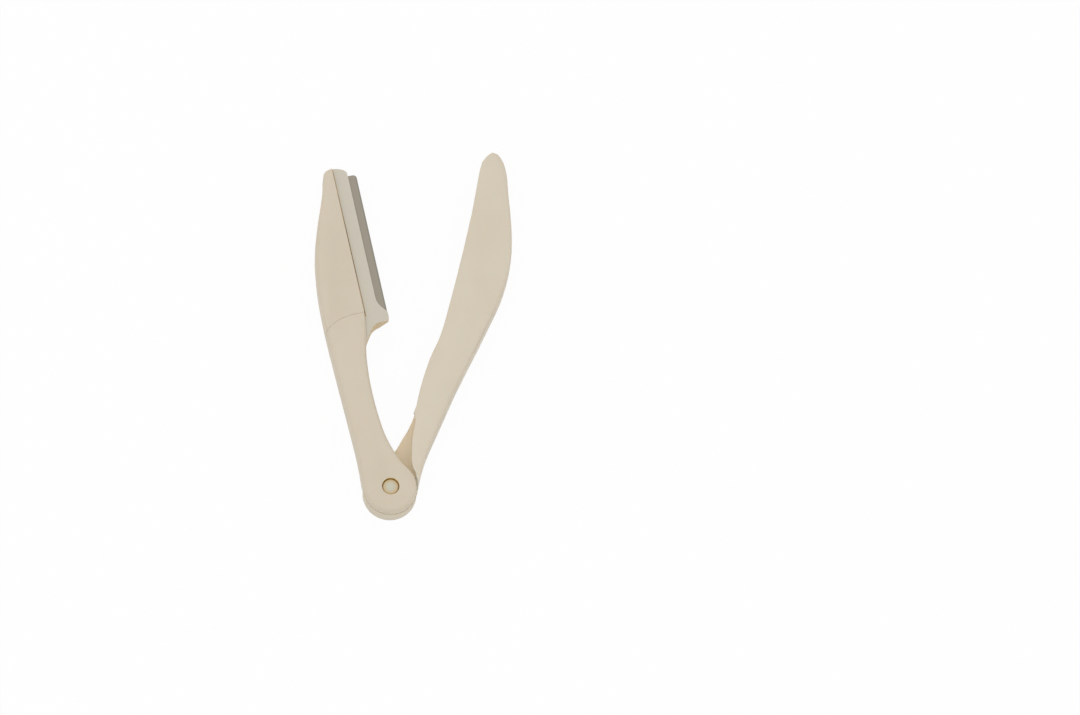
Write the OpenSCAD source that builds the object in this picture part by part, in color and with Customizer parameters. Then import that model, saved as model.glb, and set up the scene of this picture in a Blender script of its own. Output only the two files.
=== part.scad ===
// Folding eyebrow razor: a handle with a blade head, and a channel-shaped cover, on one hinge pin.
// Both arms are drawn folded, along +Y, and then turned apart about the hinge axis.

/* [Arms] */
// Distance from the hinge axis to the tip of the head
arm_l = 82.3; // [70:0.1:100]
// How far the cover reaches past the head's tip
tip_reach = 7.1; // [3:0.1:9]
// Thickness of the folded razor
body_t = 7; // [6.4:0.1:8.4]
// Angle between the arms as they lie
open_angle = 25; // [0:1:150]
// Radius that rounds the long edges of the handle
rim_r = 0.9; // [0.4:0.1:1.2]

/* [Hinge] */
// Diameter of the handle's hinge disc
disc_d = 12.8; // [11:0.1:14]
// Thickness of the handle's hinge disc, which lies on the cover's boss
disc_t = 2.5; // [2:0.1:2.8]
// How far the cover's round boss stands out beyond the disc
boss_out = 0.1; // [0:0.05:0.3]
// Gap between the cover's walls and the parts that slide between them
slide_gap = 0.1; // [0.05:0.05:0.2]
// Diameter of the pin's shank
pin_d = 3; // [2.4:0.1:3.4]
// Diameter of the pin's head
pin_head_d = 3.8; // [3.7:0.1:4.4]
// Height of the pin's head
pin_head_t = 0.8; // [0.6:0.1:1]
// Height of the shallow dome on the pin's head
pin_dome = 0.15; // [0.05:0.05:0.3]
// Depth of the pin's head below the disc's face
pin_sink = 0.45; // [0.3:0.05:0.7]
// Diameter of the pin's foot, under the boss
pin_foot_d = 4.4; // [4:0.1:5]
// Height of the pin's foot
pin_foot_t = 0.5; // [0.3:0.05:0.8]
// Depth of the pin's foot inside the cover's underside
foot_sink = 0.15; // [0.1:0.05:0.2]
// Radial running gap of the pin in the handle
run_gap = 0.05; // [0.03:0.01:0.08]
// Radial gap round the pin's head
head_gap = 0.2; // [0.15:0.05:0.3]

/* [Head] */
// Width of the head from its back edge to the long seam
head_w = 10; // [9:0.1:12]
// Distance of the long seam from the hinge axis
seam_off = 3.1; // [2.8:0.1:3.6]
// Width of the blade holder's strip beyond the seam
strip_w = 3.5; // [3:0.1:4]
// Drop from the head's face to the strip's face
step_h = 1.05; // [0.9:0.05:1.2]
// Distance from the hinge axis to the heel's lower edge
heel_y = 41.6; // [40:0.1:43]
// Width of the tongue that the head holds, left of the seam
tongue_w = 4; // [3.8:0.1:5]
// Least wall between the tongue and the head's back edge
head_wall = 0.6; // [0.5:0.1:1]
// Width of the groove along the seam
groove_w = 0.15; // [0.1:0.05:0.4]
// How far the holder's underside rises towards its outer edge
heel_rise = 2; // [1:0.1:2.2]
// Depth of the groove along the seam
groove_d = 0.5; // [0.3:0.1:0.8]
// Gap between moulded pieces that are fixed together
seat_gap = 0.05; // [0.02:0.01:0.1]

/* [Blade] */
// Length of the blade
blade_l = 37.2; // [30:0.1:38]
// Width of the blade, of which most is inside the holder
blade_w = 7.6; // [7.2:0.1:7.8]
// Thickness of the blade
blade_t = 0.25; // [0.2:0.01:0.3]
// How far the cutting edge stands out of the strip
blade_out = 2.35; // [1.8:0.05:2.8]
// Width of the ground bevel
bevel_w = 0.4; // [0.3:0.1:1]
// Thickness left at the cutting edge
edge_t = 0.03; // [0.02:0.01:0.05]
// Radius of the blade's corners
blade_corner_r = 0.9; // [0.6:0.1:1.2]
// Gap between the blade and its slot
blade_gap = 0.02; // [0.01:0.01:0.05]
// Diameter of the cap's two locating pegs
peg_d = 1; // [0.8:0.1:1.2]
// Depth of the pegs' sockets in the handle's floor
socket_d = 0.6; // [0.4:0.1:0.7]

/* [Cover] */
// How far the cover's spine bulges beyond the cutting edge
spine_out = 6.85; // [6:0.05:9]
// Thickness of the back wall
wall_t = 1; // [0.7:0.1:1.2]
// Thickness of the spine that joins the walls
spine_t = 1.2; // [1:0.1:1.5]
// Radius that rounds the spine's long edges
spine_rim_r = 1; // [0.6:0.1:1.1]
// Radius that rounds the free edges of the walls
lip_r = 0.3; // [0.15:0.05:0.4]
// Gap between the cover's free edge and the folded handle
nest_gap = 0.4; // [0.3:0.05:0.6]
// The same gap along the neck
neck_gap = 0.7; // [0.4:0.05:1]
// How far the cover's free edge bows away from the handle half way along the head
edge_bow = 0.3; // [0:0.1:0.5]
// Radial gap between the hinge disc and the cover's front wall
disc_gap = 0.2; // [0.15:0.05:0.5]

/* [Hidden] */
// Colours of the moulded plastic, of the strip and of the steel
ivory = [0.83, 0.78, 0.70];
pale_ivory = [0.80, 0.76, 0.70];
steel = [0.62, 0.59, 0.55];
// One overrun for every cut, and the sides of true round cuts
over = 1;
round_fn = 64;
// Points along each span of a smooth curve, and steps round each edge
span_steps = 4;
rim_steps = 3;
// Radius of the rounding along the seam
seam_rim_r = 0.1;

// Levels that the pieces share
disc_r = disc_d / 2;
boss_r = disc_r + boss_out;
boss_z = body_t - disc_t - slide_gap;
floor_z = wall_t + slide_gap;
strip_z = body_t - step_h;
roof_z = strip_z + slide_gap;
mid_z = (floor_z + strip_z) / 2;
pin_head_z = body_t - pin_sink - pin_head_t;

// Places across the arms
back_off = head_w - seam_off;
strip_x = seam_off + strip_w;
edge_x = strip_x + blade_out;
tongue_x = seam_off - tongue_w;
rise_x = seam_off + 0.65 * strip_w;
blade_x = edge_x - blade_w;
peg_x = blade_x + peg_d;
spine_x = edge_x + spine_out;

// Places along the arms
cover_l = arm_l + tip_reach;
seam_y = 0.541 * arm_l;
tongue_y = 0.455 * arm_l;
blade_y = 0.528 * arm_l;
tongue_top = blade_y + blade_l + seat_gap;
wedge_y = 0.235 * arm_l;
neck_y = 0.37 * arm_l;
peg_shares = [0.2, 0.8];
// Stations along an arm beyond its round end, close together at the tip
body_shares = concat([for (s = [0.075 : 0.0275 : 0.9275]) s], [0.945, 0.965, 0.98, 0.99, 0.996, 0.999]);

// Place where the heel's lower face begins to slope, its turn along the heel, and its lean
slope_x = seam_off + 0.36 * (edge_x - seam_off);
slope_y = 0.99 * heel_y;
slope_turn = 25;
slope_lean = 15;

// Angles, counted from +X, at which the outlines leave and meet their round ends
disc_leave = 38;
disc_meet = 178;
boss_leave = 5;
boss_meet = 130;
steer = 20;
// Directions of the stations round an arm's end, and how far the end runs on past its outline
end_angles = [for (a = [8 : 14 : 134]) a];
run_on = 4;
// Where the cover's free edge stops below the tip, and where the spine's rims reach their full radius
free_edge_share = 0.96;
rim_share = 0.3;
// Where the channel is closed by the cover's tip, as a share of the cover's length
channel_end_share = 0.955;

// Neck edge from the disc to the seam, as shares of the seam's offset and of the arm's length
neck_shares = [[1.12, 0.081], [0.62, 0.139], [0.38, 0.191], [0.25, 0.269], [0.27, 0.344],
    [0.46, 0.418], [0.60, 0.440], [0.76, 0.463], [0.94, 0.508]];
// Tip and back edge, as shares of the back edge's offset and of the arm's length
tip_shares = [[0.43, 1], [0.30, 0.999], [0.17, 0.993], [0.10, 0.981], [0.045, 0.959]];
back_shares = [[-0.07, 0.928], [-0.275, 0.88], [-0.484, 0.833], [-0.66, 0.785], [-0.80, 0.736],
    [-0.888, 0.687], [-0.955, 0.637], [-0.99, 0.58], [-1, 0.50], [-0.975, 0.41], [-0.94, 0.31],
    [-0.90, 0.21], [-0.88, 0.13], [-0.885, 0.08]];
// Curved seam across the head, as shares of the head's width and of the arm's length
curved_seam_shares = [[0.885, 0.540], [0.70, 0.540], [0.497, 0.536], [0.33, 0.530], [0.155, 0.519],
    [0.07, 0.512], [0, 0.503]];
// Heel up to its corner, as shares of its reach beyond the seam and of its distance
heel_shares = [[-0.20, 0.895], [-0.10, 0.915], [0.07, 0.952], [0.20, 0.977], [0.36, 0.993],
    [0.56, 1], [0.78, 1], [0.90, 1.003], [0.955, 1.012], [0.97, 1.028], [0.97, 1.045]];
// Curve from the heel's corner to the strip's edge, as shares of the blade's reach and of the heel's
heel_curve_shares = [[0.89, 1.058], [0.68, 1.072], [0.32, 1.097], [0.08, 1.127], [0, 1.158]];
// Rounded top of the strip, as shares of its width and of the arm's length
strip_top_shares = [[1, 0.975], [0.965, 0.983], [0.82, 0.991], [0.50, 0.997], [0.18, 1], [0, 1]];
// Tip of the cover and its spine, as shares of the spine's bulge and of the cover's length
cover_tip_shares = [[0.63, 0.943], [0.577, 0.964], [0.505, 0.985], [0.40, 1], [0.32, 0.998],
    [0.228, 0.975], [0.20, 0.94]];
spine_shares = [[0.404, 0.08], [0.433, 0.128], [0.507, 0.20], [0.559, 0.25], [0.608, 0.30],
    [0.668, 0.35], [0.732, 0.40], [0.799, 0.45], [0.861, 0.50], [0.921, 0.55], [0.965, 0.59],
    [0.993, 0.635], [1, 0.68], [0.975, 0.725], [0.925, 0.77], [0.865, 0.81], [0.795, 0.85],
    [0.72, 0.89]];
// Edge of the front wall round the neck, as shares of the seam's offset and of the arm's length
window_shares = [[0.39, 0.2365], [0.56, 0.229], [0.67, 0.217], [0.73, 0.198], [0.745, 0.177],
    [0.80, 0.153], [0.97, 0.119], [1.12, 0.096], [1.35, 0.074], [1.73, 0.055], [2.04, 0.03]];
// Left edge of the cover's wedge, as shares of the seam's offset and of the arm's length
wedge_shares = [[0.34, 0.222], [0.20, 0.197], [-0.04, 0.17], [-0.21, 0.143]];

// One point of a smooth curve between p1 and p2
function between(p0, p1, p2, p3, t) =
    0.5 * (2 * p1 + (p2 - p0) * t + (2 * p0 - 5 * p1 + 4 * p2 - p3) * t * t
        + (3 * p1 - p0 - 3 * p2 + p3) * t * t * t);
// Smooth curve through all points but the first and last, which only steer its ends
function smooth(p, n = span_steps) = [
    for (i = [1 : len(p) - 3], k = [0 : n - 1]) between(p[i - 1], p[i], p[i + 1], p[i + 2], k / n),
    p[len(p) - 2]];
function polar(r, a) = r * [cos(a), sin(a)];
function arc(r, a0, a1, n = 24) = [for (k = [0 : n]) polar(r, a0 + (a1 - a0) * k / n)];
function at(shares, w, l) = [for (s = shares) [s[0] * w, s[1] * l]];
function reversed(p) = [for (i = [len(p) - 1 : -1 : 0]) p[i]];
function clamp(v) = max(0, min(1, v));
function ease(v) = clamp(v) * clamp(v) * (3 - 2 * clamp(v));
function blend(a, b, share) = a + (b - a) * clamp(share);
// Outward direction at each point of a ring that runs counterclockwise
function outward(p) = [
    for (i = [0 : len(p) - 1])
        let (d = p[(i + 1) % len(p)] - p[(i + len(p) - 1) % len(p)])
        [d[1], -d[0]] / norm(d)];
// Open curve moved sideways by d, to the right of its run
function aside(p, d) = [
    for (i = [0 : len(p) - 1])
        let (t = p[min(i + 1, len(p) - 1)] - p[max(i - 1, 0)])
        p[i] + d * [t[1], -t[0]] / norm(t)];

// Where a line that climbs along Y crosses the height y
function x_at(line, y) = lookup(y, [for (p = line) [p[1], p[0]]]);
function across(line, ys) = [for (y = ys) [x_at(line, y), y]];

// Plate between two heights, with a left and a right side of as many points, and rounded rims.
// rims holds each point's radius, up the right side and down the left.
module rounded_plate(left, right, rims, z0, z1) {
    ring = concat(right, reversed(left));
    out = outward(ring);
    n = len(ring);
    levels = concat(
        [for (k = [0 : rim_steps]) [-1, 90 * k / rim_steps]],
        [for (k = [rim_steps : -1 : 0]) [1, 90 * k / rim_steps]]);
    m = len(levels);
    points = [
        for (v = levels, i = [0 : n - 1])
            let (r = rims[i], p = ring[i] - out[i] * r * (1 - sin(v[1])), rise = r * (1 - cos(v[1])))
            [p[0], p[1], v[0] < 0 ? z0 + rise : z1 - rise]];
    sides = [
        for (j = [0 : m - 2], i = [0 : n - 1])
            [j * n + i, (j + 1) * n + i, (j + 1) * n + (i + 1) % n, j * n + (i + 1) % n]];
    rungs = [for (i = [0 : n / 2 - 2]) [i, i + 1, n - 2 - i, n - 1 - i]];
    roof = [for (r = rungs) [for (i = [3 : -1 : 0]) (m - 1) * n + r[i]]];
    polyhedron(points, concat(rungs, sides, roof), convexity = 6);
}
// Prism over a plan outline, between two heights
module prism(ring, z0, z1) {
    translate([0, 0, z0]) linear_extrude(z1 - z0) polygon(ring);
}
// Round pin or bore about a point, between two heights
module rod(p, d, z0, z1) {
    translate([p[0], p[1], z0]) cylinder(d = d, h = z1 - z0, $fn = round_fn);
}

// Right side of the handle's thick body, from the disc to the seam, which the cover's edge follows
neck_line = smooth(concat(
    [polar(disc_r, disc_leave - steer), polar(disc_r, disc_leave)],
    at(neck_shares, seam_off, arm_l),
    [[seam_off, seam_y], [seam_off, seam_y + seam_off]]));
seam_line = [for (s = [0.25 : 0.25 : 1]) [seam_off, seam_y + s * (arm_l - seam_y)]];
step_line = concat(neck_line, seam_line);
back_line = reversed(smooth(concat([[strip_x, arm_l]], at(tip_shares, back_off, arm_l),
    at(back_shares, back_off, arm_l),
    [polar(disc_r, disc_meet), polar(disc_r, disc_meet + steer)])));
handle_ys = concat([for (a = end_angles) -disc_r * cos(a)], [for (s = body_shares) s * arm_l]);
handle_left = across(concat(arc(disc_r, 270, disc_meet + run_on), back_line), handle_ys);
handle_right = across(concat(arc(disc_r, 270, 360 + disc_leave - run_on), step_line), handle_ys);
// The rim is crisp along the seam and round everywhere else
handle_rims = concat(
    [for (p = handle_right) blend(rim_r, seam_rim_r, (p[1] - seam_y + seam_off) / seam_off)],
    [for (p = handle_left) rim_r]);
module handle_body() {
    rounded_plate(handle_left, handle_right, handle_rims, 0, body_t);
}

// Plan of the cap, left of the seam and above the curved seam
curved_seam = smooth([for (s = concat([[1.1, 0.540]], curved_seam_shares, [[-0.1, 0.487]]))
    [s[0] * head_w - back_off, s[1] * arm_l]]);
function cap_plan(gap) =
    let (line = aside(curved_seam, gap), n = len(line) - 1)
    concat([[seam_off + over, line[0][1]], [seam_off + over, arm_l + over],
        [-back_off - over, arm_l + over], [-back_off - over, line[n][1]]], reversed(line));
// Left side of the tongue, and of the room round it, which keeps a wall to the head's back edge
function tongue_side(gap) = [
    for (s = [0 : 0.1 : 1])
        let (y = blend(tongue_y, tongue_top, s), wall_x = x_at(back_line, y) + head_wall,
            room = s < 1 ? seat_gap : -blade_corner_r)
        [min(max(tongue_x, wall_x), blade_x - room) - gap, y]];
function tongue_room(gap) = concat(
    [for (p = tongue_side(gap)) [p[0], p[1] + gap * (p[1] > seam_y ? 1 : -1)]],
    [[seam_off + gap, tongue_top + gap], [seam_off + gap, arm_l + over],
     [edge_x + over, arm_l + over], [edge_x + over, tongue_y - gap]]);
peg_places = [for (s = peg_shares) [peg_x, blade_y + s * blade_l]];

// Outline of the holder: tongue, heel, strip and rounded top
heel_line = smooth(concat(at([heel_shares[0]], edge_x - seam_off, heel_y),
    at(heel_shares, edge_x - seam_off, heel_y), at([[1, 1.08]], edge_x - seam_off, heel_y)));
holder_ring = concat(
    [for (p = heel_line) if (p[1] > tongue_y) [p[0] + seam_off, p[1]]],
    [for (p = smooth(concat([[1, 1.05]], heel_curve_shares, [[0, 1.25]])))
        [strip_x + p[0] * blade_out, p[1] * heel_y]],
    [for (p = smooth(concat([[1, 0.9]], strip_top_shares, [[-0.2, 1]])))
        [seam_off + p[0] * strip_w, p[1] * arm_l]],
    [[seam_off, tongue_top]], reversed(tongue_side(0)));

// The plate of the cover ends just inside the round boss
end_r = boss_r - lip_r;
// Cover: its free edge follows the handle's step, its wedge runs down to the round boss
free_edge = [for (p = step_line) if (p[1] > wedge_y && p[1] < free_edge_share * arm_l)
    let (bow = edge_bow * sin(180 * clamp((p[1] - seam_y) / (arm_l - seam_y))))
    [p[0] + blend(neck_gap, nest_gap, ease((p[1] - neck_y) / (seam_y - neck_y))) + bow, p[1]]];
wedge_line = smooth(concat([free_edge[1], free_edge[0]], at(wedge_shares, seam_off, arm_l),
    [polar(boss_r, boss_meet), polar(boss_r, boss_meet + steer)]));
spine_line = smooth(concat([polar(boss_r, boss_leave - steer), polar(boss_r, boss_leave)],
    at(spine_shares, spine_x, cover_l), at(cover_tip_shares, spine_x, cover_l),
    [free_edge[len(free_edge) - 1]]));
// The spine's line climbs up to the tip, and the rest of it comes down the left side
function climbs(i) = i < 2 || spine_line[i][1] > spine_line[i - 1][1];
spine_side = [for (i = [0 : len(spine_line) - 1]) if (climbs(i)) spine_line[i]];
tip_side = reversed([for (i = [0 : len(spine_line) - 1]) if (!climbs(i)) spine_line[i]]);
cover_ys = concat([for (a = end_angles) -end_r * cos(a)], [for (s = body_shares) s * cover_l]);
cover_right = across(concat(arc(end_r, 270, 360 + boss_leave - run_on), spine_side), cover_ys);
cover_left = across(concat(arc(end_r, 270, boss_meet + run_on), reversed(wedge_line), free_edge, tip_side),
    cover_ys);
cover_rims = concat(
    [for (p = cover_right)
        blend(lip_r, spine_rim_r, min(p[1] / wedge_y, (p[0] - seam_off) / (rim_share * spine_x)))],
    [for (p = cover_left) lip_r]);
// Room inside the channel, open along the free edge and closed at the tip
channel_line = [for (p = aside(spine_side, -spine_t)) if (p[1] < channel_end_share * cover_l) p];
channel_plan = concat(channel_line,
    [[seam_off + spine_t, channel_end_share * cover_l], [-spine_x, channel_end_share * cover_l],
     [-spine_x, channel_line[0][1]]]);
// The front wall ends in a curve that clears the neck and the hinge disc
window_line = smooth(concat([[0, wedge_y]], at(window_shares, seam_off, arm_l), [[boss_r, 0]]));
window_plan = concat(window_line,
    [[disc_r, 0], [-spine_x, 0], [-spine_x, wedge_y]]);

// Handle: hinge disc, neck with its shoulder, and the rear half of the head
module handle_arm() {
    color(ivory) rotate([0, 0, open_angle / 2]) difference() {
        handle_body();
        prism(cap_plan(0), mid_z, body_t + over);
        prism(tongue_room(seat_gap), floor_z - seat_gap, strip_z + seat_gap);
        // Relief that turns on the boss and slides over the wedge
        rod([0, 0], 2 * (boss_r + slide_gap), -over, body_t - disc_t);
        prism(concat(aside(wedge_line, disc_gap), [[edge_x, -boss_r], [edge_x, wedge_y]]), -over, floor_z);
        rod([0, 0], pin_d + 2 * run_gap, 0, body_t + over);
        rod([0, 0], pin_head_d + 2 * head_gap, pin_head_z - slide_gap, body_t + over);
        for (p = peg_places) rod(p, peg_d + 2 * seat_gap, floor_z - socket_d, body_t);
    }
}

// Front half of the head: it closes over the tongue, and its pegs lock the holder and the blade
module head_cap() {
    color(ivory) rotate([0, 0, open_angle / 2]) {
        difference() {
            intersection() {
                handle_body();
                prism(cap_plan(seat_gap), mid_z + seat_gap, body_t + over);
            }
            prism(tongue_room(seat_gap), 0, strip_z + seat_gap);
        }
        for (p = peg_places) rod(p, peg_d, floor_z - socket_d + seat_gap, strip_z + 2 * seat_gap);
    }
}

// Blade holder: strip, heel and tongue, moulded round the blade
module blade_holder() {
    color(pale_ivory) rotate([0, 0, open_angle / 2]) difference() {
        prism(holder_ring, floor_z, strip_z);
        blade_blank(blade_gap, blade_corner_r);
        // The underside rises towards the outer edge
        translate([0, arm_l + over, floor_z]) rotate([90, 0, 0]) linear_extrude(arm_l) polygon([
            [rise_x, 0], [rise_x, -over], [edge_x + over, -over],
            [edge_x + over, heel_rise], [edge_x, heel_rise]]);
        // The heel's lower face slopes in towards its corner
        translate([slope_x, slope_y, floor_z]) rotate([0, 0, slope_turn]) rotate([90, 0, 90])
            linear_extrude(edge_x) polygon([
                [over * tan(slope_lean), -over], [-body_t * tan(slope_lean), body_t],
                [-body_t, body_t], [-body_t, -over]]);
        translate([seam_off, seam_y, strip_z - groove_d])
            cube([groove_w, arm_l, groove_d + over]);
        for (p = peg_places) rod(p, peg_d + 2 * seat_gap, 0, body_t);
    }
}

// Blade before its bevel is ground, or the slot that it leaves in the holder
module blade_blank(gap, r) {
    x0 = blade_x + r;
    x1 = edge_x - r;
    y0 = blade_y + r;
    y1 = blade_y + blade_l - r;
    reach = gap > 0 ? over : 0;
    corners = concat(
        [for (a = [270 : 15 : 360]) [x1 + reach, y0] + polar(r + gap, a)],
        [for (a = [0 : 15 : 90]) [x1 + reach, y1 + reach] + polar(r + gap, a)],
        [for (a = [90 : 15 : 180]) [x0, y1] + polar(r + gap, a)],
        [for (a = [180 : 15 : 270]) [x0, y0] + polar(r + gap, a)]);
    prism(corners, mid_z - blade_t / 2 - gap, mid_z + blade_t / 2 + gap);
}

// Blade: flat stainless strip, ground to an edge from both faces, with two locating holes
module blade() {
    color(steel) rotate([0, 0, open_angle / 2]) difference() {
        intersection() {
            blade_blank(0, blade_corner_r);
            translate([0, blade_y + blade_l + over, mid_z]) rotate([90, 0, 0])
                linear_extrude(blade_l + 2 * over) polygon([
                    [blade_x - over, -blade_t], [edge_x - bevel_w, -blade_t],
                    [edge_x - bevel_w, -blade_t / 2], [edge_x, -edge_t / 2],
                    [edge_x, edge_t / 2], [edge_x - bevel_w, blade_t / 2],
                    [edge_x - bevel_w, blade_t], [blade_x - over, blade_t]]);
        }
        for (p = peg_places) rod(p, peg_d + 4 * seat_gap, 0, body_t);
    }
}

// Round boss that carries the pin, with a rounded lower edge
module boss() {
    rotate_extrude($fn = round_fn) polygon(concat(
        [[0, 0]], [for (p = arc(lip_r, 270, 360, 3)) p + [boss_r - lip_r, lip_r]],
        [[boss_r, boss_z], [0, boss_z]]));
}

// Cover: two walls joined by a spine, open towards the handle, on a round hinge boss
module cover() {
    color(ivory) rotate([0, 0, -open_angle / 2]) difference() {
        union() {
            difference() {
                rounded_plate(cover_left, cover_right, cover_rims, 0, body_t);
                prism(channel_plan, wall_t, roof_z);
                prism(window_plan, wall_t, body_t + over);
                rod([0, 0], 2 * (disc_r + disc_gap), wall_t, body_t + over);
            }
            boss();
        }
        rod([0, 0], pin_d, -over, boss_z + over);
        rod([0, 0], pin_foot_d, -over, foot_sink + pin_foot_t);
    }
}

// Hinge pin: foot and shank fixed in the boss, and a low domed head in the handle's counterbore
module pivot_pin() {
    head_r = pin_head_d / 2;
    head_top = body_t - pin_sink;
    dome = [for (s = [0 : 0.2 : 1]) [head_r * s, head_top - pin_dome * s * s]];
    color(ivory) rotate_extrude($fn = round_fn) polygon(concat(
        [[0, foot_sink], [pin_foot_d / 2, foot_sink], [pin_foot_d / 2, foot_sink + pin_foot_t],
         [pin_d / 2, foot_sink + pin_foot_t], [pin_d / 2, pin_head_z], [head_r, pin_head_z]],
        reversed(dome)));
}

handle_arm();
head_cap();
blade_holder();
blade();
cover();
pivot_pin();
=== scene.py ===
# %% [markdown]
# # A folding eyebrow razor
# The razor has two slim arms of ivory plastic on one hinge pin. One arm is the handle, with a steel
# blade along the side of its head. The other is a cover, which is a channel that closes over the
# blade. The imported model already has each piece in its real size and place. This lesson gives the
# pieces the soft edges and the finishes that make moulded plastic and ground steel look real.

from math import cos, radians, sin

import bpy
from mathutils import Matrix, Vector


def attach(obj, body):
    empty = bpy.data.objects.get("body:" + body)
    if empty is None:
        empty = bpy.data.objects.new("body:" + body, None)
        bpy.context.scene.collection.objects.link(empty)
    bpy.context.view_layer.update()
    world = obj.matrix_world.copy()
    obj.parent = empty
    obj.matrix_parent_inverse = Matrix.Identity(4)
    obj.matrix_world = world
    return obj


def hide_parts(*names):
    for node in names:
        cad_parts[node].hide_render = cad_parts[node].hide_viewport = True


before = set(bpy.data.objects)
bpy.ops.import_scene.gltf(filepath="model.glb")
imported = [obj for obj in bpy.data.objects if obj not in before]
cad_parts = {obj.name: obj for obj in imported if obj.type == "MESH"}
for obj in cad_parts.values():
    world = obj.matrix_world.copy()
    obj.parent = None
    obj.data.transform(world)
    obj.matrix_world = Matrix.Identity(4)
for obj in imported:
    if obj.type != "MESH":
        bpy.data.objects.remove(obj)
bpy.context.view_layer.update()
MM = 0.001

# %% [markdown]
# ## The camera
# The razor lies flat and is seen from high up with a long lens, so that both arms keep their
# width. A camera 2.2 m away with a lens of about 300 mm does that. It is built from three
# directions: towards the camera, up in the picture and right in the picture.

# %% Place the camera
PICTURE_W = 1080
SENSOR_W = 36
PX_PER_MM = 4.16
DISTANCE = 2200 * MM
HEIGHT_ANGLE = radians(71)
SIDE_ANGLE = radians(3.5)
PIN_TOP = Vector((0, 0, 6.55 * MM))
AIM_RIGHT, AIM_UP = 35.9 * MM, 31.02 * MM  # from the pin to the middle of the picture

towards = Vector((-sin(SIDE_ANGLE), -cos(HEIGHT_ANGLE) * cos(SIDE_ANGLE),
                  sin(HEIGHT_ANGLE) * cos(SIDE_ANGLE))).normalized()
picture_up = (Vector((0, 1, 0)) - towards.y * towards).normalized()
picture_right = picture_up.cross(towards)
aim = PIN_TOP + AIM_RIGHT * picture_right + AIM_UP * picture_up
turn = Matrix((picture_right, picture_up, towards)).transposed()

bpy.ops.object.camera_add(location=aim + DISTANCE * towards, rotation=turn.to_euler())
camera = bpy.context.object
camera.data.sensor_width = SENSOR_W
camera.data.lens = SENSOR_W * DISTANCE / (PICTURE_W / PX_PER_MM * MM)
camera.data.clip_end = 10
bpy.context.scene.camera = camera
print("Lens in mm:", round(camera.data.lens, 1))

# %% [markdown]
# ## Small helpers
# Operators act on all that is selected, so each step first selects one piece. Hex colours are
# written as a screen shows them, and one function turns them into the linear values that the
# shaders need. One more function adds a shader node with its settings and links.

# %% Helpers for selecting, colours and nodes
def select_only(piece):
    bpy.ops.object.select_all(action="DESELECT")
    piece.select_set(True)
    bpy.context.view_layer.objects.active = piece


def linear(hex_colour):
    parts = [int(hex_colour[i:i + 2], 16) / 255 for i in (1, 3, 5)]
    return [v / 12.92 if v <= 0.04045 else ((v + 0.055) / 1.055) ** 2.4 for v in parts] + [1]


def add_node(tree, kind, links=(), **settings):
    """Adds a node. links holds (input, node, output); other names are the node's own settings."""
    node = tree.nodes.new(kind)
    for name, value in settings.items():
        if name == "inputs":
            for socket, amount in value.items():
                node.inputs[socket].default_value = amount
        else:
            setattr(node, name, value)
    for socket, source, output in links:
        tree.links.new(source.outputs[output], node.inputs[socket])
    return node


# %% [markdown]
# ## The moulded plastic
# The arms are moulded in ivory ABS. Its skin is satin, because the mould is finely sparked: the
# texture is some hundredths of a millimetre deep and breaks up the reflections. A faint unevenness
# of the gloss, some millimetres across, comes from handling. Light goes a little way into the
# plastic and warms narrow gaps a little; the stronger tan glow in the gaps is painted on further down.

# %% Make the ivory plastics
CLOUD_W, WEAR_W = 12 * MM, 4 * MM
SPARK_W, SPARK_DEPTH = 0.25 * MM, 0.02 * MM
LIT_SHARE, LIT_DEPTH = 0.15, 0.6 * MM  # how much light goes below the skin, and how far


def moulded_abs(name, hex_colour, darker_hex, roughness, spread=(1.0, 0.7, 0.4)):
    material = bpy.data.materials.new(name)
    material.use_nodes = True
    tree = material.node_tree
    tree.nodes.clear()
    place = add_node(tree, "ShaderNodeTexCoord")
    # Wide clouds shift the colour by a shade, as uneven flow in the mould does
    clouds = add_node(tree, "ShaderNodeTexNoise", [("Vector", place, "Object")],
                      inputs={"Scale": 1 / CLOUD_W, "Detail": 2.0, "Roughness": 0.5})
    shade = add_node(tree, "ShaderNodeValToRGB", [("Fac", clouds, "Fac")])
    shade.color_ramp.elements[0].position = 0.35
    shade.color_ramp.elements[0].color = linear(darker_hex)
    shade.color_ramp.elements[1].position = 0.65
    shade.color_ramp.elements[1].color = linear(hex_colour)
    # Wear makes the gloss uneven
    wear = add_node(tree, "ShaderNodeTexNoise", [("Vector", place, "Object")],
                    inputs={"Scale": 1 / WEAR_W, "Detail": 3.0})
    gloss = add_node(tree, "ShaderNodeMapRange", [("Value", wear, "Fac")],
                     inputs={"To Min": roughness - 0.06, "To Max": roughness + 0.06})
    # A sparked texture is about 0.05 mm wide, and five times that here so that it shows
    sparks = add_node(tree, "ShaderNodeTexNoise", [("Vector", place, "Object")],
                      inputs={"Scale": 1 / SPARK_W, "Detail": 2.0})
    skin = add_node(tree, "ShaderNodeBump", [("Height", sparks, "Fac")],
                    inputs={"Strength": 0.12, "Distance": SPARK_DEPTH})
    plastic = add_node(tree, "ShaderNodeBsdfPrincipled",
                       [("Base Color", shade, "Color"), ("Roughness", gloss, "Result"),
                        ("Normal", skin, "Normal")],
                       inputs={"IOR": 1.53, "Subsurface Weight": LIT_SHARE, "Subsurface Scale": LIT_DEPTH,
                               "Subsurface Radius": spread})
    add_node(tree, "ShaderNodeOutputMaterial", [("Surface", plastic, "BSDF")])
    return material


ivory_abs = moulded_abs("ivory_ABS_satin_moulded", "#D4C9B6", "#D1C6B2", 0.5)
cover_abs = moulded_abs("ivory_ABS_of_the_cover", "#D7CDBB", "#D5CAB7", 0.5)
strip_abs = moulded_abs("strip_ABS_satin_moulded", "#CDC7B9", "#CBC5B7", 0.46)
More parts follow.
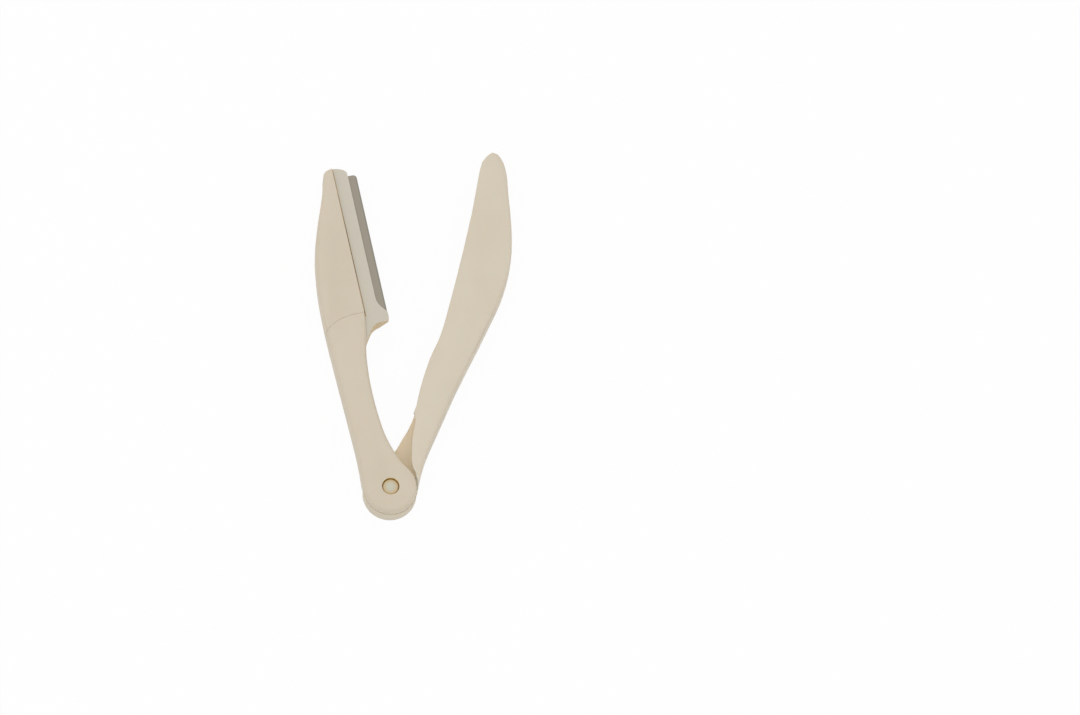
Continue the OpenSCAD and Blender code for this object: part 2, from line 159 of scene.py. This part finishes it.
# Painted light and shade: copies of the plastic painted lighter, warmer or darker, for the places below
# Painted bounce light: the floor inside the cover is painted lighter and warmer than the plastic
painted_bounce_abs = moulded_abs("ivory_ABS_painted_bounce_light", "#F2E2C6", "#EFDEC0", 0.55)
# Painted light and shade: the heel's lower face is painted a warm tan, for the light that falls on it from
# the front
heel_painted_light_abs = moulded_abs("strip_ABS_painted_light", "#E0CBA4", "#DCC69E", 0.5)
# Painted glow and shade: amber on the faces of the gaps round the disc, the pin's head and the cap
painted_gap_glow_abs = moulded_abs("ivory_ABS_painted_glow_in_gaps", "#D2B268", "#CBAA5F", 0.5)
# Painted shade: the groove of the long seam is painted amber-brown
painted_seam_shade = moulded_abs("painted_shade_amber_in_seam", "#C2A578", "#86632F", 0.45)

# %% [markdown]
# ## Plastics with painted light that changes with the distance from the hinge
# The pin's head is a separate moulding. Its middle is painted a little greyer, as a painted highlight where
# its top catches the light, and its rim is painted tan, as painted shade and warm glow in the gap. The wall
# of the cover's window is painted lighter next to the disc, as painted light in its narrow gap, and light
# also goes deep below its skin there; farther up it looks like the rest of the cover. The distance from the
# hinge axis drives both changes.

# %% Make the pin's plastic and the window's wall
def ringed(material, near, far, colours, shares=(LIT_SHARE, LIT_SHARE), depths=(LIT_DEPTH, LIT_DEPTH)):
    """Changes a plastic's colour, and its light below the skin, between two distances from the hinge."""
    tree = material.node_tree
    plastic = [node for node in tree.nodes if node.type == "BSDF_PRINCIPLED"][0]
    place = add_node(tree, "ShaderNodeTexCoord")
    flat = add_node(tree, "ShaderNodeMapping", [("Vector", place, "Object")], inputs={"Scale": (1, 1, 0)})
    reach = add_node(tree, "ShaderNodeVectorMath", [(0, flat, "Vector")], operation="LENGTH")
    part = add_node(tree, "ShaderNodeMapRange", [("Value", reach, "Value")],
                    inputs={"From Min": near, "From Max": far})
    rings = add_node(tree, "ShaderNodeValToRGB", [("Fac", part, "Result")])
    for stop, colour in zip(rings.color_ramp.elements, colours):
        stop.color = linear(colour)
    tree.links.new(rings.outputs["Color"], plastic.inputs["Base Color"])
    for socket, (first, last) in (("Subsurface Weight", shares), ("Subsurface Scale", depths)):
        amount = add_node(tree, "ShaderNodeMapRange", [("Value", part, "Result")],
                          inputs={"To Min": first, "To Max": last})
        tree.links.new(amount.outputs["Result"], plastic.inputs[socket])


HEAD_R = 1.9  # mm
# Painted highlight in the middle of the pin's head, painted tan shade and glow at its rim
pin_painted_light_abs = moulded_abs("ivory_ABS_pin_head_painted_light", "#CAC8B8", "#CAC8B8", 0.5)
ringed(pin_painted_light_abs, 0.35 * HEAD_R * MM, 0.8 * HEAD_R * MM, ("#CAC8B8", "#CFBF9C"))
# Painted light: the window's wall is painted near white next to the disc, where its gap is in shade, and
# much light goes below its skin there
thin_wall_painted_light_abs = moulded_abs("ivory_ABS_thin_wall_painted_light", "#FFF5E0", "#FDF2DA", 0.55, spread=(1.0, 0.97, 0.92))
ringed(thin_wall_painted_light_abs, 8 * MM, 12 * MM, ("#FFF5E0", "#D6CCB9"), (0.95, LIT_SHARE), (3 * MM, LIT_DEPTH))

# %% [markdown]
# ## The blade steel
# The blade is cut from rolled stainless strip, whose rolling marks run along it. Its bevel is
# ground across, so it catches the light in another way. Both finishes stretch a noise along the
# marks, and feed it to the bump and to the roughness.

# %% Make the two steel finishes
def worked_steel(name, hex_colour, roughness, spacing, length, along_turn):
    material = bpy.data.materials.new(name)
    material.use_nodes = True
    tree = material.node_tree
    tree.nodes.clear()
    place = add_node(tree, "ShaderNodeTexCoord")
    turned = add_node(tree, "ShaderNodeMapping", [("Vector", place, "Object")],
                      inputs={"Rotation": (0, 0, along_turn)})
    stretched = add_node(tree, "ShaderNodeMapping", [("Vector", turned, "Vector")],
                         inputs={"Scale": (1 / spacing, 1 / length, 1 / spacing)})
    marks = add_node(tree, "ShaderNodeTexNoise", [("Vector", stretched, "Vector")],
                     inputs={"Scale": 1.0, "Detail": 3.0})
    gloss = add_node(tree, "ShaderNodeMapRange", [("Value", marks, "Fac")],
                     inputs={"To Min": roughness - 0.08, "To Max": roughness + 0.08})
    grooves = add_node(tree, "ShaderNodeBump", [("Height", marks, "Fac")],
                       inputs={"Strength": 0.25, "Distance": 0.01 * MM})
    steel = add_node(tree, "ShaderNodeBsdfPrincipled",
                     [("Roughness", gloss, "Result"), ("Normal", grooves, "Normal")],
                     inputs={"Base Color": linear(hex_colour), "Metallic": 1.0})
    add_node(tree, "ShaderNodeOutputMaterial", [("Surface", steel, "BSDF")])
    return material


OPEN_HALF = radians(12.5)
rolled_steel = worked_steel("stainless_strip_rolled", "#8B8579", 0.36, 0.12 * MM, 12 * MM, -OPEN_HALF)
ground_steel = worked_steel("stainless_bevel_ground", "#8F8A80", 0.3, 3 * MM, 0.12 * MM, -OPEN_HALF)

# %% [markdown]
# ## Soft edges for the moulded pieces
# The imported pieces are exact, but their edges are as sharp as a drawing's. No moulded edge is: each
# has a small radius that catches a line of light. Each piece is copied, its loose triangles are
# merged, its flat faces are joined up, and its sharp edges get a bevel of about a tenth of a
# millimetre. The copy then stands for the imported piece, in the same place.

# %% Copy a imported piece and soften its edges
MERGE_WITHIN, FLAT_ANGLE = 0.004 * MM, radians(0.6)
SHARP_ANGLE, SMOOTH_ANGLE = radians(58), radians(40)


def softened(node, name, body, material, edge):
    """Copies a node's mesh, rounds its sharp edges by edge, and lets the copy stand for the node."""
    piece = bpy.data.objects.new(name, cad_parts[node].data.copy())
    piece.data.name = name
    bpy.context.scene.collection.objects.link(piece)
    select_only(piece)
    bpy.ops.object.mode_set(mode="EDIT")
    bpy.ops.mesh.select_all(action="SELECT")
    bpy.ops.mesh.remove_doubles(threshold=MERGE_WITHIN)
    bpy.ops.mesh.dissolve_limited(angle_limit=FLAT_ANGLE)
    bpy.ops.object.mode_set(mode="OBJECT")
    if edge:
        soft = piece.modifiers.new("soft_edges", "BEVEL")
        soft.limit_method = "ANGLE"
        soft.angle_limit = SHARP_ANGLE
        soft.width = edge
        soft.segments = 2
        soft.use_clamp_overlap = True
        bpy.ops.object.modifier_apply(modifier=soft.name)
    bpy.ops.object.shade_smooth_by_angle(angle=SMOOTH_ANGLE)
    piece.data.materials.clear()
    piece.data.materials.append(material)
    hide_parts(node)
    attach(piece, body)
    print(name, "has", len(piece.data.polygons), "faces")
    return piece


handle_shell = softened("handle_arm", "handle_shell", "handle", ivory_abs, 0.08 * MM)
cap_shell = softened("head_cap", "cap_shell", "handle", ivory_abs, 0.08 * MM)
strip_shell = softened("blade_holder", "strip_shell", "handle", strip_abs, 0.05 * MM)
sheath_shell = softened("cover", "sheath_shell", "cover", cover_abs, 0.08 * MM)
hinge_pin = softened("pivot_pin", "hinge_pin", "cover", pin_painted_light_abs, 0.1 * MM)

# %% [markdown]
# ## Painted warm light and shade in the gaps
# The wall under the cover's opening is only a millimetre thick, so light comes through it. Its faces, and
# the floor inside the cover, are also painted lighter and warmer, as painted light. The groove of the long
# seam is painted amber as painted shade, and the gaps round the disc, the cap and the pin's head are painted
# amber too, as painted glow and shade. These faces are found by their place on the folded arm and by the way
# they look.

# %% Paint light and shade on the inner faces
def mark_faces(piece, material, turn_back, is_marked):
    """Gives a piece one more material, on each face that is_marked(place in mm, normal) accepts."""
    piece.data.materials.append(material)
    index = len(piece.data.materials) - 1
    back = Matrix.Rotation(turn_back, 3, "Z")
    count = 0
    for face in piece.data.polygons:
        if is_marked(back @ face.center / MM, back @ face.normal):
            face.material_index = index
            count += 1
    print(piece.name, "has", count, "faces of", material.name)


# Heights, places across and along an arm, and radii about the hinge, all in mm
FLOOR_Z, BOSS_Z, STRIP_Z, LEDGE_Z = 1.0, 4.4, 5.95, 3.5
SEAM_X, SEAM_SHADE_X, WINDOW_X = 3.1, 3.44, 1.5
WINDOW_Y, CAP_LOW_Y, HEEL_Y, SEAM_SHADE_Y, CAP_HIGH_Y = 19, 41, 43, 43.7, 45
HOLE_R, DISC_R = 2.1, 6.4
GROOVE_D, HAIR = 0.55, 0.02
# Limits for a normal's part: a face that lies flat, leans a little, stands up or looks aside
LIES, LEANS, STANDS, ASIDE = 0.95, 0.9, 0.5, 0.2


def around(place, inner, outer):
    return inner < Vector((place.x, place.y)).length < outer


def in_cap_seam(place, normal):
    return place.z > LEDGE_Z and CAP_LOW_Y < place.y < CAP_HIGH_Y and normal.y > STANDS


# The strip's face is cut along both edges of the painted seam shade, and across its lower end
open_turn = Matrix.Rotation(OPEN_HALF, 3, "Z")
select_only(strip_shell)
bpy.ops.object.mode_set(mode="EDIT")
across, along = Vector((1, 0, 0)), Vector((0, 1, 0))
for direction, distance in ((across, SEAM_X + HAIR), (across, SEAM_SHADE_X), (along, SEAM_SHADE_Y)):
    bpy.ops.mesh.select_all(action="SELECT")
    bpy.ops.mesh.bisect(plane_co=open_turn @ direction * distance * MM, plane_no=open_turn @ direction)
bpy.ops.object.mode_set(mode="OBJECT")

# The floor inside the cover gets the painted bounce light
mark_faces(sheath_shell, painted_bounce_abs, OPEN_HALF, lambda place, normal: (
    abs(place.z - FLOOR_Z) < 0.05 and normal.z > LEANS))
# The wall of the cover's window gets the painted light
mark_faces(sheath_shell, thin_wall_painted_light_abs, OPEN_HALF, lambda place, normal: (
    place.z > FLOOR_Z and 0 < place.y < WINDOW_Y and place.x > WINDOW_X
    and abs(normal.z) < STANDS and normal.x < -ASIDE))
# The gaps round the disc, the pin hole, the pin's head and the cap get the painted amber glow and shade
mark_faces(sheath_shell, painted_gap_glow_abs, 0, lambda place, normal: (
    abs(place.z - BOSS_Z) < 0.09 and abs(normal.z) < LIES and around(place, DISC_R - 0.1, DISC_R + 0.2)))
mark_faces(handle_shell, painted_gap_glow_abs, -OPEN_HALF, lambda place, normal: (
    abs(normal.z) < LIES and around(place, HOLE_R - 0.1, HOLE_R + 0.1)
    or abs(normal.z) < STANDS and in_cap_seam(place, normal)))
mark_faces(hinge_pin, painted_gap_glow_abs, 0, lambda place, normal: (
    abs(normal.z) < LIES and around(place, HEAD_R - 0.15, HEAD_R + 0.1)))
# The heel's lower face gets the painted light
mark_faces(strip_shell, heel_painted_light_abs, -OPEN_HALF, lambda place, normal: (
    place.y < HEEL_Y and normal.y < -ASIDE and place.z < STRIP_Z - 0.05))
# The groove of the long seam gets the painted shade
mark_faces(strip_shell, painted_seam_shade, -OPEN_HALF, lambda place, normal: (
    SEAM_X - 0.05 < place.x < SEAM_SHADE_X and STRIP_Z - GROOVE_D < place.z and place.y > SEAM_SHADE_Y))

# %% [markdown]
# ## The blade
# The blade keeps its sharp edges, so it is copied without a bevel. Its two ground faces are the ones
# that tilt towards the cutting edge. They are found by their normals, and get the ground finish.

# %% Finish the blade
UPRIGHT, LEVEL = 0.02, 0.995
blade_piece = softened("blade", "steel_blade", "handle", rolled_steel, 0)
blade_piece.data.materials.append(ground_steel)
for face in blade_piece.data.polygons:
    tilted = UPRIGHT < abs(face.normal.z) < LEVEL
    face.material_index = 1 if tilted else 0
print("Ground faces:", sum(face.material_index for face in blade_piece.data.polygons))

# %% [markdown]
# ## Floor and light
# The razor lies on plain white. The floor and the sky are white to the camera and in reflections,
# and the floor keeps a soft shadow. A wide sky of even light gives each colour about as it is
# written, and one large lamp high on the upper left gives the edges their shape.

# %% Make the floor
def seen_directly(tree):
    """Gives 1 for rays from the camera and for the rays that metal and gloss send out."""
    path = add_node(tree, "ShaderNodeLightPath")
    mirrored = add_node(tree, "ShaderNodeMath",
                        [(0, path, "Is Glossy Ray"), (1, path, "Is Transmission Ray")],
                        operation="ADD", use_clamp=True)
    return add_node(tree, "ShaderNodeMath", [(0, path, "Is Camera Ray"), (1, mirrored, "Value")],
                    operation="ADD", use_clamp=True)


FLOOR_SIDE, FLOOR_DROP = 6, 0.02 * MM
bpy.ops.mesh.primitive_plane_add(size=FLOOR_SIDE, location=(0, 0, -FLOOR_DROP))
floor = bpy.context.object
floor.name = "floor"
paper = bpy.data.materials.new("white_paper_matt")
paper.use_nodes = True
tree = paper.node_tree
tree.nodes.clear()
matt = add_node(tree, "ShaderNodeBsdfDiffuse", inputs={"Color": linear("#F4F2EE")})
glow = add_node(tree, "ShaderNodeEmission", inputs={"Color": (1, 1, 1, 1), "Strength": 1.0})
share = add_node(tree, "ShaderNodeMath", [(0, seen_directly(tree), "Value")], operation="MULTIPLY",
                 inputs={1: 0.95})
both = add_node(tree, "ShaderNodeMixShader", [(0, share, "Value"), (1, matt, "BSDF"), (2, glow, "Emission")])
add_node(tree, "ShaderNodeOutputMaterial", [("Surface", both, "Shader")])
floor.data.materials.append(paper)

# %% Light the scene
world = bpy.data.worlds.new("studio")
bpy.context.scene.world = world
world.use_nodes = True
sky = world.node_tree
sky.nodes.clear()
plain = add_node(sky, "ShaderNodeBackground", inputs={"Color": linear("#FFFEFC"), "Strength": 0.86})
white = add_node(sky, "ShaderNodeBackground", inputs={"Color": (1, 1, 1, 1), "Strength": 1.0})
either = add_node(sky, "ShaderNodeMixShader", [(0, seen_directly(sky), "Value"), (1, plain, "Background"),
                                               (2, white, "Background")])
add_node(sky, "ShaderNodeOutputWorld", [("Surface", either, "Shader")])

LAMP_PLACE, LAMP_AIM, LAMP_SIDE = Vector((-0.25, 0.3, 1.1)), Vector((0.01, 0.04, 0)), 0.9
bpy.ops.object.light_add(type="AREA", location=LAMP_PLACE)
window = bpy.context.object
window.name = "window_light"
window.data.shape = "SQUARE"
window.data.size = LAMP_SIDE
window.data.energy = 1.6
window.data.color = (1, 0.99, 0.97)
window.rotation_euler = (LAMP_AIM - LAMP_PLACE).to_track_quat("-Z", "Y").to_euler()
bpy.context.scene.view_settings.view_transform = "Standard"
